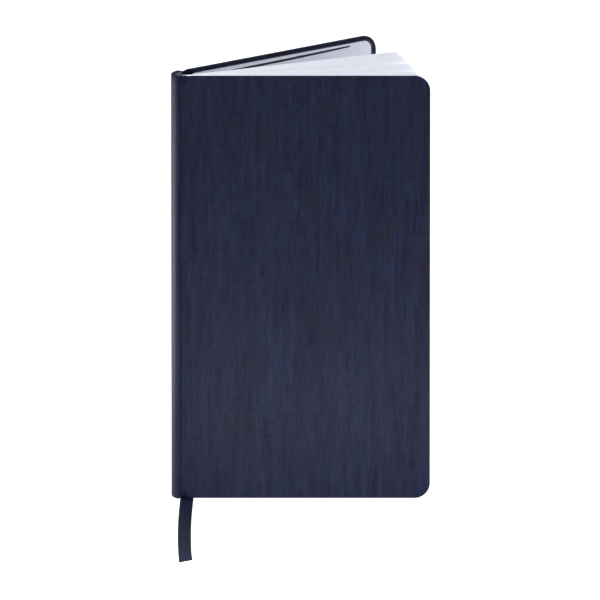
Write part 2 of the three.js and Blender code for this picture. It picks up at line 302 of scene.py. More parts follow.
def card(left, right, low, high, radius, near, far, edge=0.03 * MM):
    """A thin rounded card between two depths, with its rim just softened."""
    half = (right - left) / 2
    # Both flat faces have the same rings, from the card's middle line out to its softened rim
    face = [half, half * 0.6, 12 * MM, 4 * MM, edge]
    insets = [*face, 0, 0, *reversed(face)]
    depths = [near] * len(face) + [near + edge, far - edge] + [far] * len(face)
    corners = card_corners(left, right, low, high, radius)
    return loop_body(inset_rings(corners, insets, depths))


def wrapped_cover(low):
    """Cloth wrapped over a board: out along the face, round the edge, in along the turn-in, and back.

    The profile is a run of (inset, depth) pairs with quarter circles where it rounds the board's edges.
    """
    s = sizes()
    half = (WIDTH - BOARD_START) / 2
    bends = np.radians(np.linspace(0, 90, 6))
    out_inset = s.edge * (1 - np.sin(bends))
    out_depth = s.edge * (1 - np.cos(bends))
    cloth = s.cloth
    insets = np.concatenate([
        [half, half * 0.7, half * 0.4, 10 * MM, 4 * MM, 1.6 * MM],
        out_inset,
        out_inset[::-1],
        [1.6 * MM, 3 * MM, 6 * MM, s.turn_in - cloth, s.turn_in, s.turn_in - cloth],
        [1.4 * cloth, 1.4 * cloth, 4 * MM, half * 0.5, half],
    ])
    depths = np.concatenate([
        np.zeros(6),
        out_depth,
        WRAP - out_depth[::-1],
        [WRAP, WRAP, WRAP, WRAP, WRAP - cloth / 2, WRAP - cloth],
        [WRAP - cloth, cloth, cloth, cloth, cloth],
    ])
    corners = card_corners(BOARD_START, WIDTH, low, HEIGHT, s.corner)
    rings = inset_rings(corners, insets, depths, arc=22, side=60)
    rings[..., 1] += pleats(rings, insets)
    return loop_body(rings)


def pleats(rings, insets):
    """Small folds where the cloth is gathered in at the two rounded corners, inside only.

    The relief is a run of ridges round each corner, strongest 3 to 10 mm in from the edge.
    """
    corner = sizes().corner
    height, ridges, half_spread = 0.06 * MM, 9, math.pi / 3.2
    inside = rings[0, :, 1] >= WRAP - 0.01 * MM
    fade_in = ease((insets - 1.2 * MM) / (2 * MM))
    fade_out = ease((14 * MM - insets) / (4 * MM))
    reach = np.where(inside, fade_in * fade_out, 0)
    # One ring of the board's rounded edge, which gives each row's angle round its corner
    rim = rings[:, 8]
    relief = np.zeros(rings.shape[:2])
    for z, way in ((rim[:, 2].min(), 1), (rim[:, 2].max(), -1)):
        x0, z0 = WIDTH - corner, z + way * corner
        angle = np.arctan2((z0 - rim[:, 2]) * way, rim[:, 0] - x0)
        near = ease(1 - np.abs(angle - math.pi / 4) / half_spread)
        relief += (near * np.abs(np.sin(angle * ridges)))[:, None] * reach * height
    return relief


def joint_profile(x, press=1.0):
    """Depth of the joint's cloth below the cover's face, at distances x from the spine.

    It is a groove with a steep spine side and a long board side; press says how hard it was pressed in.
    """
    groove, below_face = 1.2 * MM * press, 0.05 * MM
    rise = ease((x - 3.8 * MM) / (1.6 * MM))
    fall = 1 - 0.86 * ease((x - 5.2 * MM) / (4.4 * MM))
    return groove * rise * fall + below_face


def pinch(x, to_end):
    """How much deeper the groove is pressed near the head and the tail: a bell across it, fading upwards."""
    depth, centre, width, fade = 0.9 * MM, 6.0 * MM, 1.5 * MM, 5 * MM
    bell = np.exp(-(((x - centre) / width) ** 2))
    return depth * bell * (1 - ease(to_end / fade))


def joint_cloth(x_from, x_to, low, thickness, press):
    """A band of joint cloth between two distances from the spine, as a front and a back grid.

    Its head and tail are turned over: for 6 mm the cloth is 2.6 times as thick, as two layers and their glue.
    Each end is rounded over its last half millimetre and dips a little in the groove.
    """
    x, z = np.meshgrid(np.linspace(x_from, x_to, 30), np.linspace(0, 1, 141), indexing="ij")
    # Rows are closer together towards the head and the tail
    z = 0.5 - 0.5 * np.cos(math.pi * z)
    z = low + z * (HEIGHT - low)
    to_end = np.minimum(z - low, HEIGHT - z)
    rounding, dip_depth, turned_over, extra = 0.2 * MM, 0.25 * MM, 6 * MM, 1.6
    y = joint_profile(x, press) + press * pinch(x, to_end)
    y = y + rounding * (1 - ease(to_end / (0.5 * MM)))
    dip = dip_depth * np.exp(-(((x - 5.4 * MM) / (1.3 * MM)) ** 2))
    z = z + dip * (1 - 2 * (z - low) / (HEIGHT - low))
    front = np.stack([x, y, z], -1)
    doubled = thickness * (1 + extra * (1 - ease((to_end - turned_over) / MM)))
    return front, front + np.stack([0 * x, doubled, 0 * x], -1)


def hinge_paper(x_from, x_to, low):
    """The endpaper over the inside of a joint: it follows the groove's inside, then rises to the liner."""
    inset, thickness = 2.5 * MM, 0.12 * MM
    x, z = np.meshgrid(np.linspace(x_from, x_to, 20), np.linspace(0, 1, 31), indexing="ij")
    z = low + inset + z * (HEIGHT - low - 2 * inset)
    in_groove = joint_profile(x) + 0.55 * MM
    to_liner = WRAP * ease((x - 5 * MM) / (4 * MM)) + 0.1 * MM
    front = np.stack([x, np.maximum(in_groove, to_liner), z], -1)
    return front, front + [0, thickness, 0]


# ---------------------------------------------------------------- materials


def linear(text):
    """An sRGB hex colour as linear red, green, blue and alpha."""
    parts = [int(text[i : i + 2], 16) / 255 for i in (0, 2, 4)]
    return [p / 12.92 if p <= 0.04045 else ((p + 0.055) / 1.055) ** 2.4 for p in parts] + [1.0]


def shade(colour, factor):
    """A linear colour with its red, green and blue multiplied."""
    return [v * factor for v in colour[:3]] + [1]


def add(tree, kind, inputs=None, **settings):
    """Adds one node. settings are its own properties; each input is a value or another node's output."""
    made = tree.nodes.new(kind)
    for name, value in settings.items():
        setattr(made, name, value)
    for key, value in (inputs or {}).items():
        if isinstance(value, bpy.types.NodeSocket):
            tree.links.new(value, made.inputs[key])
        else:
            made.inputs[key].default_value = value
    return made


def start_material(name, **shader):
    """A new material with one Principled shader, whose fixed values are set on its own sockets."""
    material = bpy.data.materials.new(name)
    material.use_nodes = True
    tree = material.node_tree
    tree.nodes.clear()
    bsdf = add(tree, "ShaderNodeBsdfPrincipled", shader)
    add(tree, "ShaderNodeOutputMaterial", {"Surface": bsdf.outputs[0]})
    return material, tree, bsdf


def place_in_mm(tree, size_x, size_y, size_z):
    """Object coordinates divided by a feature's real size along each axis, in millimetres."""
    where = add(tree, "ShaderNodeTexCoord").outputs["Object"]
    scale = (1 / (size_x * MM), 1 / (size_y * MM), 1 / (size_z * MM))
    return add(tree, "ShaderNodeMapping", {"Vector": where, "Scale": scale}).outputs[0]


def noise(tree, sizes_mm, detail=2.0, roughness=0.5):
    """Noise whose blobs are about that many millimetres along x, y and z."""
    return add(
        tree,
        "ShaderNodeTexNoise",
        {"Vector": place_in_mm(tree, *sizes_mm), "Scale": 1.0, "Detail": detail, "Roughness": roughness},
    ).outputs["Fac"]


def spread(tree, value, low, high):
    """Stretches a value so that low becomes 0 and high becomes 1."""
    return add(tree, "ShaderNodeMapRange", {"Value": value, "From Min": low, "From Max": high}).outputs[0]


def mix_colour(tree, share, first, second):
    """The first colour where share is 0 and the second where it is 1; each is a colour or an output."""
    mixed = add(tree, "ShaderNodeMix", {"Factor": share}, data_type="RGBA")
    for socket, value in ((mixed.inputs[6], first), (mixed.inputs[7], second)):
        if isinstance(value, bpy.types.NodeSocket):
            tree.links.new(value, socket)
        else:
            socket.default_value = value
    return mixed.outputs[2]


def blend_values(tree, operation, first, second):
    """Two values joined by a Math node's operation; those that take one value ignore the second."""
    return add(tree, "ShaderNodeMath", {0: first, 1: second}, operation=operation).outputs[0]


def paint(tree, bsdf, colour, height, depth_mm, strength):
    """Gives the shader its colour, and the relief of a height that stands for depth_mm."""
    relief = {"Height": height, "Distance": depth_mm * MM, "Strength": strength}
    normal = add(tree, "ShaderNodeBump", relief).outputs["Normal"]
    tree.links.new(colour, bsdf.inputs["Base Color"])
    tree.links.new(normal, bsdf.inputs["Normal"])


def book_cloth():
    """Cotton book cloth, filled and calendered.

    The eye sees a soft matt navy with upright slubbed threads, broken by a finer cross weave, in threads that
    took the dye as blue, violet or grey. The threads are 0.4 mm apart on the real cloth and are drawn at
    0.8 mm, so that they show.
    """
    material, tree, bsdf = start_material(
        "book cloth, woven cotton, calendered",
        Roughness=0.45,
        **{"Specular IOR Level": 0.06},
    )
    warp = noise(tree, (0.8, 0.8, 11), detail=3.0, roughness=0.65)
    slub = noise(tree, (2.6, 2.6, 30), detail=2.0)
    weft = noise(tree, (2.6, 2.6, 0.8), detail=2.0, roughness=0.7)
    violet = noise(tree, (5, 5, 26), detail=3.0, roughness=0.6)
    grey = noise(tree, (9, 9, 16), detail=3.0, roughness=0.6)
    threads = 0.0
    for part, weight in ((warp, 0.5), (weft, 0.3), (slub, 0.35)):
        sum_so_far = {0: part, 1: weight, 2: threads}
        threads = add(tree, "ShaderNodeMath", sum_so_far, operation="MULTIPLY_ADD").outputs[0]
    c = colours()
    cloth = mix_colour(tree, spread(tree, threads, 0.42, 0.72), linear(c.navy), linear(c.navy_light))
    cloth = mix_colour(tree, spread(tree, violet, 0.5, 0.8), cloth, linear(VIOLET_THREAD))
    cloth = mix_colour(tree, spread(tree, grey, 0.52, 0.85), cloth, linear(GREY_THREAD))
    paint(tree, bsdf, cloth, threads, 0.1, 0.5)
    return material


def leaf_paper():
    """Uncoated wood-free paper, cut. The eye sees a cool bright white with the faintest cloudiness."""
    look = {"Roughness": 0.7, "Specular IOR Level": 0.3}
    material, tree, bsdf = start_material("paper, uncoated, white", **look)
    cloud = spread(tree, noise(tree, (5, 5, 7), detail=4.0), 0.3, 0.7)
    white = linear(colours().paper)
    fibre = noise(tree, (0.3, 0.3, 0.5), detail=3.0)
    paint(tree, bsdf, mix_colour(tree, cloud, shade(white, 0.97), white), fibre, 0.01, 0.5)
    return material


def grey_paper():
    """Dyed endpaper, smooth laid. The eye sees a pale blue-grey with soft upright laid lines."""
    look = {"Roughness": 0.6, "Specular IOR Level": 0.35}
    material, tree, bsdf = start_material("endpaper, dyed grey, smooth", **look)
    laid = noise(tree, (1.1, 1.1, 24), detail=3.0)
    grey = linear(colours().liner)
    tone = spread(tree, laid, 0.3, 0.7)
    fibre = noise(tree, (0.35, 0.35, 0.5), detail=3.0)
    paint(tree, bsdf, mix_colour(tree, tone, shade(grey, 0.93), grey), fibre, 0.015, 0.6)
    return material


def plain_woven(name, colour, pitch_mm, depth_mm, roughness):
    """A small open weave: threads both ways at the given pitch. The eye sees a soft matt check."""
    material, tree, bsdf = start_material(name, Roughness=roughness, **{"Sheen Weight": 0.2})
    up = noise(tree, (pitch_mm, pitch_mm, pitch_mm * 9), detail=1.0)
    across = noise(tree, (pitch_mm * 9, pitch_mm * 9, pitch_mm), detail=1.0)
    height = blend_values(tree, "ADD", up, across)
    tone = spread(tree, height, 0.7, 1.3)
    full = linear(colour)
    paint(tree, bsdf, mix_colour(tree, tone, shade(full, 0.72), full), height, depth_mm, 0.8)
    return material


def pulp_board(name, colour):
    """Pressed pulp board. The eye sees a dull surface flecked with short fibres."""
    material, tree, bsdf = start_material(name, Roughness=0.9)
    fleck = spread(tree, noise(tree, (0.5, 0.5, 1.4), detail=5.0, roughness=0.7), 0.35, 0.65)
    full = linear(colour)
    paint(tree, bsdf, mix_colour(tree, fleck, shade(full, 0.7), full), fleck, 0.05, 0.6)
    return material


def satin_ribbon():
    """Rayon satin ribbon with woven edges.

    The eye sees fine lines along its length, a soft sheen, and a darker selvedge at each side.
    Its own map runs along the ribbon in u and across it in v.
    """
    material, tree, bsdf = start_material(
        "rayon ribbon, satin woven",
        Roughness=0.45,
        **{"Specular IOR Level": 0.12, "Sheen Weight": 0.02, "Sheen Roughness": 0.3},
    )
    place = add(tree, "ShaderNodeUVMap", uv_map="surface").outputs[0]
    parts = add(tree, "ShaderNodeSeparateXYZ", {0: place})
    along, across = parts.outputs[0], parts.outputs[1]
    weave = 0.0
    for place, count, weight in ((across, 22, 0.7), (along, 260, 0.3)):
        wave = blend_values(tree, "SINE", blend_values(tree, "MULTIPLY", place, count * 2 * math.pi), 0.0)
        weave = blend_values(tree, "ADD", weave, blend_values(tree, "MULTIPLY", wave, weight))
    from_middle = blend_values(tree, "ABSOLUTE", blend_values(tree, "SUBTRACT", across, 0.5), 0.0)
    selvedge = spread(tree, from_middle, 0.39, 0.46)
    blue = linear(colours().ribbon)
    tone = spread(tree, weave, -1.0, 1.0)
    body = mix_colour(tree, tone, shade(blue, 0.8), shade(blue, 1.15))
    paint(tree, bsdf, mix_colour(tree, selvedge, body, shade(blue, 0.4)), weave, 0.03, 0.6)
    return material


def wound_thread():
    """Mercerised cotton wound over a core. The eye sees fine shiny turns side by side."""
    look = {"Roughness": 0.45, "Sheen Weight": 0.3}
    material, tree, bsdf = start_material("cotton thread, mercerised", **look)
    strand = noise(tree, (0.25, 0.25, 0.25), detail=2.0)
    pale = linear(colours().thread)
    tone = spread(tree, strand, 0.3, 0.7)
    paint(tree, bsdf, mix_colour(tree, tone, shade(pale, 0.8), pale), strand, 0.04, 0.6)
    return material


def block_paper():
    """The ends of the glued folds. The eye sees white paper cut across, in fine lines along the leaves."""
    material, tree, bsdf = start_material("paper, cut block", Roughness=0.8)
    lines = noise(tree, (60, 0.3, 4), detail=2.0)
    white = linear(colours().paper)
    tone = spread(tree, lines, 0.35, 0.65)
    paint(tree, bsdf, mix_colour(tree, tone, shade(white, 0.8), white), lines, 0.05, 0.6)
    return material


MAKERS = {
    "cover_cloth": book_cloth,
    "leaf_paper": leaf_paper,
    "grey_paper": grey_paper,
    "ribbon": satin_ribbon,
    "thread": wound_thread,
    "band": lambda: plain_woven("headband, cotton, navy", HEADBAND, 0.4, 0.05, 0.6),
    "block": block_paper,
    # The navy lining also paints the shade inside the back joint and in the pocket's slot
    "pocket_cloth": lambda: plain_woven("cotton lining, plain woven, navy, painted shade", NAVY_LINING_AND_PAINTED_SHADE, 0.35, 0.05, 0.85),
    "mull": lambda: plain_woven("cotton gauze, starched", GAUZE, 0.9, 0.15, 0.9),
    "board": lambda: pulp_board("binder's board, pressed grey pulp", GREY_BOARD),
    "card": lambda: pulp_board("card, pressed cream pulp", CREAM_CARD),
}
_made = {}


def finish_of(slot):
    """The material of one slot, made the first time it is asked for."""
    if slot not in _made:
        _made[slot] = MAKERS[slot]()
    return _made[slot]


# ---------------------------------------------------------------- operators


class MakerOperator(bpy.types.Operator):
    """Shared settings of the operators that make pieces"""

    bl_options = {"REGISTER", "UNDO"}


class LOGBOOK_OT_stage(MakerOperator):
    """Make the pale floor, the soft lights and the camera"""

    bl_idname = "logbook.stage"
    bl_label = "Stage"

    # Each light's name, place, width, height and power in watts
    lights = (
        ("key", (-0.12, -1.55, 1.6), 1.1, 1.1, 25.0),
        ("low front", (0.0, -0.19, 0.012), 0.42, 0.02, 0.36),
        ("overhead", (0.1, 0.1, 1.9), 1.6, 1.6, 20.0),
        ("left strip", (-0.2635, 0.065, 0.05), 0.02, 0.2, 0.7),
        ("right", (1.5, 0.0, 1.0), 0.8, 0.8, 3.0),
    )

    def execute(self, context):
        scene = context.scene
        scene.view_settings.view_transform = "Standard"
        floor_half = 60.0
        mesh = bpy.data.meshes.new("floor")
        corners = [(-1, -1), (1, -1), (1, 1), (-1, 1)]
        mesh.from_pydata([(x * floor_half, y * floor_half, 0) for x, y in corners], [], [(0, 1, 2, 3)])
        table = {"Base Color": (0.5, 0.5, 0.5, 1), "Emission Color": (1, 1, 1, 1), "Emission Strength": 0.82}
        mesh.materials.append(start_material("acrylic table, opal", Roughness=0.8, **table)[0])
        floor = bpy.data.objects.new("floor", mesh)
        scene.collection.objects.link(floor)
        world = bpy.data.worlds.new("studio")
        world.use_nodes = True
        world.node_tree.nodes["Background"].inputs[0].default_value = (0.95, 0.97, 1.0, 1)
        world.node_tree.nodes["Background"].inputs[1].default_value = 0.35
        scene.world = world
        for light in self.lights:
            self.light(scene, *light)
        self.camera(scene)
        return {"FINISHED"}

    def light(self, scene, name, place, width, height, power):
        """One rectangular lamp aimed at the book's middle, which the camera doesn't see."""
        data = bpy.data.lights.new(name, "AREA")
        data.shape, data.size, data.size_y, data.energy = "RECTANGLE", width, height, power
        lamp = bpy.data.objects.new(name, data)
        lamp.location = place
        aim = np.array([0, 0, HEIGHT / 2]) - np.array(place)
        lamp.rotation_euler = Vector(aim).to_track_quat("-Z", "Y").to_euler()
        lamp.visible_camera = False
        scene.collection.objects.link(lamp)

    def camera(self, scene):
        """A long lens 14 degrees up and square to the front cover: upright edges stay nearly parallel."""
        distance, rise = 12.0, math.radians(14.0)
        target = np.array([-0.3 * MM, BOOK[1], 100.75 * MM])
        frame_width = 294.3 * MM
        data = bpy.data.cameras.new("camera")
        data.sensor_width = 36
        data.lens = distance / frame_width * data.sensor_width
        data.clip_end = 100
        eye = bpy.data.objects.new("camera", data)
        eye.location = target + distance * np.array([0, -math.cos(rise), math.sin(rise)])
        eye.rotation_euler = (math.pi / 2 - rise, 0, 0)
        scene.collection.objects.link(eye)
        scene.camera = eye


class LOGBOOK_OT_ribbon(MakerOperator):
    """Make the ribbon marker: the part held in the gutter, and the free tail on the floor"""

    bl_idname = "logbook.ribbon"
    bl_label = "Ribbon"
    thickness = 0.2 * MM
    # The free tail's route from under the book to its cut end: x, y in millimetres
    route = [(7.6, 2.2), (7.42, -8), (7.2, -18), (7.0, -28), (6.86, -38), (6.76, -48), (6.71, -58),
             (6.7, -68), (6.74, -78), (6.83, -88), (6.96, -98), (7.14, -108), (7.46, -118), (7.6, -122)]

    def execute(self, context):
        self.tail()
        self.held()
        return {"FINISHED"}

    def strip(self, centres, across, normals):
        """A flat ribbon: across its width, the face is lifted a little at the two woven edges."""
        width, bead = sizes().ribbon, 0.04 * MM
        v = np.linspace(-0.5, 0.5, 15)
        edge = bead * ease((np.abs(v) - 0.4) / 0.06)
        half = self.thickness / 2 - bead
        middle = centres[:, None] + (v * width)[None, :, None] * across[:, None]
        raised = (half + edge)[None, :, None] * normals[:, None]
        return middle + raised, middle - raised

    def tail(self):
        """The free tail, flat on the floor, in even steps along the route's own length."""
        count = 90
        route = np.array(self.route) * MM
        reach = np.concatenate([[0], np.cumsum(np.linalg.norm(np.diff(route, axis=0), axis=1))])
        s = np.linspace(0, reach[-1], count)
        lift = self.thickness / 2
        x, y = (np.interp(s, reach, route[:, axis]) for axis in (0, 1))
        centres = np.stack([x, y, np.full(count, lift)], 1)
        across = np.tile([1.0, 0, 0], (count, 1))
        normals = np.tile([0, 0, 1.0], (count, 1))
        front, back = self.strip(centres, across, normals)
        # The cut end slants: the shift grows over the last stretch of the ribbon
        shift, stretch = 2.5 * MM, 20 * MM
        slant = shift * ease((s - s[-1] + stretch) / stretch)
        v = np.linspace(-1, 1, front.shape[1])
        for face in (front, back):
            face[..., 1] += slant[:, None] * v[None, :]
        piece = build("ribbon_tail_satin", [slab(front, back)], finish_of("ribbon"))
        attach(piece, "spine")
        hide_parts("ribbon_tail")

    def held(self):
        """Down the gutter, then round a small quarter circle to the floor, to meet the tail."""
        low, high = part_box("ribbon_marker")
        middle = (np.array(low) + np.array(high)) / 2 - BOOK
        bend, count = 0.75 * MM, 40
        angles = np.linspace(0, math.pi / 2, 8)
        lift = self.thickness / 2
        down = np.linspace(high.z, bend + lift, count)
        y = np.concatenate([np.full(count, middle[1]), middle[1] - bend * (1 - np.cos(angles))])
        z = np.concatenate([down, lift + bend * (1 - np.sin(angles))])
        tangent_y, tangent_z = np.gradient(y), np.gradient(z)
        size = np.hypot(tangent_y, tangent_z)
        centres = np.stack([np.full(len(y), middle[0]), y, z], 1)
        normals = np.stack([np.zeros(len(y)), -tangent_z / size, tangent_y / size], 1)
        across = np.tile([1.0, 0, 0], (len(y), 1))
        faces = self.strip(centres, across, normals)
        piece = build("ribbon_marker_satin", [slab(*faces)], finish_of("ribbon"))
        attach(piece, "spine")
        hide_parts("ribbon_marker")


class LOGBOOK_OT_covers(MakerOperator):
    """Make the two covers' wrapped cloth and their liners"""

    bl_idname = "logbook.covers"
    bl_label = "Covers"
    # The two faces of the pocket's card, measured inwards from the liner's own inner face
    panel_faces = (0.35 * MM, 0.6 * MM)

    def execute(self, context):
        front = build("front_cover_wrap", [wrapped_cover(LIFT)], finish_of("cover_cloth"), weld=1e-6)
        back = moved(wrapped_cover(0.0), lambda p: opened(mirror(p)))
        back = build("back_cover_wrap", [back], finish_of("cover_cloth"), weld=1e-6)
        for piece, body in ((front, "front_cover"), (back, "back_cover")):
            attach(piece, body)
            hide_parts(f"{body}_cloth")
        s = sizes()
        low, high = (np.array(corner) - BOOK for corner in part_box("front_pastedown"))
        liner = card(LINER_START, high[0], low[2], high[2], LINER_CORNER, low[1], high[1])
        liner = build("front_liner", [liner], finish_of("grey_paper"), weld=1e-6)
        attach(liner, "front_cover")
        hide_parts("front_pastedown")
        near, far = (high[1] + face for face in self.panel_faces)
        right, bottom = WIDTH - s.liner_edge, s.liner_head
        panel = self.slotted(LINER_START, right, bottom, HEIGHT - bottom, near, far)
        panel = moved(panel, lambda p: opened(mirror(p)))
        panel = build("pocket_front", [panel], finish_of("grey_paper"), weld=1e-6)
        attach(panel, "back_cover")
        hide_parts("pocket_panel")
        return {"FINISHED"}

    def slotted(self, left, right, low, high, near, far):
        """The pocket's card: rings that run from its outline in to a round-ended slot along its head.

        The slot runs slightly downhill towards the spine, and its lips part most at its middle. The card
        is pushed out a little below the slot, as the mouth of a pocket stands open.
        """
        outline = card_corners(left, right, low, high, LINER_CORNER)
        middle, half, start, end = HEIGHT - 3.3 * MM, 0.38 * MM, 22 * MM, 109.4 * MM
        downhill, parting, push, push_height, fade = 0.0108, 0.55 * MM, 0.1 * MM, 3 * MM, 30 * MM
        round_end = half * 0.999
        # Through the slot shows the navy pastedown, which paints the shade in the pocket's mouth
        slot = [
            (end, middle - half, -1, 1, round_end, -90),
            (end, middle + half, -1, -1, round_end, 0),
            (start, middle + half, 1, -1, round_end, 90),
            (start, middle - half, 1, 1, round_end, 180),
        ]
        outer = self.ring(outline)
        inner = self.ring(slot)
        along = (inner[:, 0] - start) / (end - start)
        sag = parting * np.sin(np.pi * np.clip(along, 0, 1)) ** 0.7
        inner[:, 1] -= np.where(inner[:, 1] < middle, sag, 0)
        inner[:, 1] -= downhill * (end - inner[:, 0])
        shares = np.array([0, 0.25, 0.5, 0.75, 0.9, 0.97, 1.0])
        across = outer[:, None] * (1 - shares[None, :, None]) + inner[:, None] * shares[None, :, None]
        gape = push * np.exp(-(((across[..., 1] - middle) / push_height) ** 2))
        gape *= (across[..., 1] < middle) * ease((across[..., 0] - left) / fade)
        gape *= ease((right - across[..., 0]) / fade)
        faces = [
            np.stack([across[..., 0], np.full(across.shape[:2], depth) + gape, across[..., 1]], -1)
            for depth in (near, far)
        ]
        return closed_loop_body(np.concatenate([faces[0], faces[1][:, ::-1]], 1))

    def ring(self, corners):
        """A corner list as one ring of x and z points, with equal counts on every corner and side."""
        rows = []
        for i, (x, z, dx, dz, radius, first) in enumerate(corners):
            after = corners[(i + 1) % len(corners)]
            angles = np.radians(np.linspace(first, first + 90, 14))
            centre = np.array([x + dx * radius, z + dz * radius])
            arc = centre + radius * np.stack([np.cos(angles), np.sin(angles)], 1)
            next_centre = np.array([after[0] + after[2] * after[4], after[1] + after[3] * after[4]])
            there = next_centre + after[4] * np.array([math.cos(angles[-1]), math.sin(angles[-1])])
            share = np.linspace(0, 1, 42)[1:-1, None]
            rows += [arc, arc[-1] * (1 - share) + there * share]
        return np.concatenate(rows)


class LOGBOOK_OT_spine(MakerOperator):
    """Make the rounded spine's cloth and the grooved cloth and paper of both joints"""

    bl_idname = "logbook.spine"
    bl_label = "Spine and Joints"
    # Each joint's side, foot height, how hard its groove is pressed, and the finish inside it; the back's navy
    # lining is painted shade inside that joint
    sides = (("front", 0.45 * MM, 1.0, "grey_paper"), ("back", 0.1 * MM, 0.5, "pocket_cloth"))

    def execute(self, context):
        spine = build("spine_wrap", [slab(*self.rounded_back())], finish_of("cover_cloth"))
        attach(spine, "spine")
        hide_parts("spine_cloth")
        for side, low, press, lining in self.sides:
            joint = partial(joint_cloth, low=low, thickness=sizes().cloth, press=press)
            self.strips(side, "joint", "cover_cloth", joint)
            self.strips(side, "hinge_paper", lining, partial(hinge_paper, low=low))
        return {"FINISHED"}

    def strips(self, side, name, finish, surface):
        """Two strips over one joint: the first from the spine's edge to the groove's middle and the second on to
        the board.

        A strip's two faces are made in the closed book. On the back, which stands open at its spine fold,
        each point is turned by the share of that fold that the blend gives it, and the second by all of it.
        """
        start, middle, end = 3.85 * MM, 6.2 * MM, 9.9 * MM
        for i, (x_from, x_to) in enumerate(((start, middle), (middle, end))):
            faces = surface(x_from, x_to)
            lead, trail = np.array([x_from, 0, 0]), np.array([x_to, 0, 0])
            if side == "back":
                faces = [mirror(face) for face in faces]
                share = ease((faces[0][..., 0] - x_from) / (x_to - x_from)) if i == 0 else 1.0
                faces = [turn(face, BACK_SPINE_FOLD, share * OPEN) for face in faces]
                lead = turn(mirror(lead), BACK_SPINE_FOLD, i * OPEN)
                trail = opened(mirror(trail))
            piece = build(f"{side}_{name}_{i + 1}", [slab(*faces)], finish_of(finish))
            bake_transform(piece)
            if finish == "cover_cloth":
                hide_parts(f"{side}_joint_cloth")

    def rounded_back(self):
        """The spine: an arc of a circle with a short flat at each side, rolled over at the head and tail.

        Round the section, the arc's angle runs evenly from one side to the other. Up the spine, the last
        0.6 mm curls inwards along a quarter circle, as turned-in cloth does, and goes on as a cap that
        reaches 2.6 mm in and sinks 0.35 mm towards the book's middle.
        """
        sagitta, half, flat_end, count = 3 * MM, THICK / 2, 3.95 * MM, 4
        radius = (half**2 + sagitta**2) / (2 * sagitta)
        reach = math.asin(half / radius)
        angle = np.linspace(-reach, reach, 49)
        flat = np.linspace(flat_end, sagitta, count + 1)[:-1]
        none, one = np.zeros(count), np.ones(count)
        x = np.concatenate([flat, radius - radius * np.cos(angle), flat[::-1]])
        y = np.concatenate([none, half + radius * np.sin(angle), np.full(count, THICK)])
        in_x = np.concatenate([none, np.cos(angle), none])
        in_y = np.concatenate([one, -np.sin(angle), -one])
        # Going up: the tail's cap, the upright back, and the head's cap
        curl, cap, sink, thickness = 0.6 * MM, 2.6 * MM, 0.35 * MM, 0.3 * MM
        bends = np.linspace(0, math.pi / 2, 6)
        lip = np.linspace(curl, cap, count + 1)[1:]
        droop = sink * (lip - curl) / (cap - curl)
        rise = np.concatenate([droop[::-1], curl * (1 - np.sin(bends[::-1]))])
        reach_in = np.concatenate([lip[::-1], curl * (1 - np.cos(bends[::-1]))])
        straight = np.linspace(curl, HEIGHT - curl, 60)[1:-1]
        z = np.concatenate([rise, straight, HEIGHT - rise[::-1]])
        inward = np.concatenate([reach_in, np.zeros(len(straight)), reach_in[::-1]])
        outer = self.section(x, y, in_x, in_y, inward, z)
        under = np.where(inward > curl, inward, inward + thickness)
        z_under = np.clip(z, thickness, HEIGHT - thickness)
        z_under[:count] = z[:count] + thickness
        z_under[-count:] = z[-count:] - thickness
        return outer, self.section(x, y, in_x, in_y, under, z_under)

    def section(self, x, y, in_x, in_y, inward, z):
        """The outline (x, y) carried up through heights z, drawn in along (in_x, in_y) at each height."""
        points = np.empty((len(x), len(z), 3))
        points[..., 0] = x[:, None] + in_x[:, None] * inward
        points[..., 1] = y[:, None] + in_y[:, None] * inward
        points[..., 2] = z
        return points


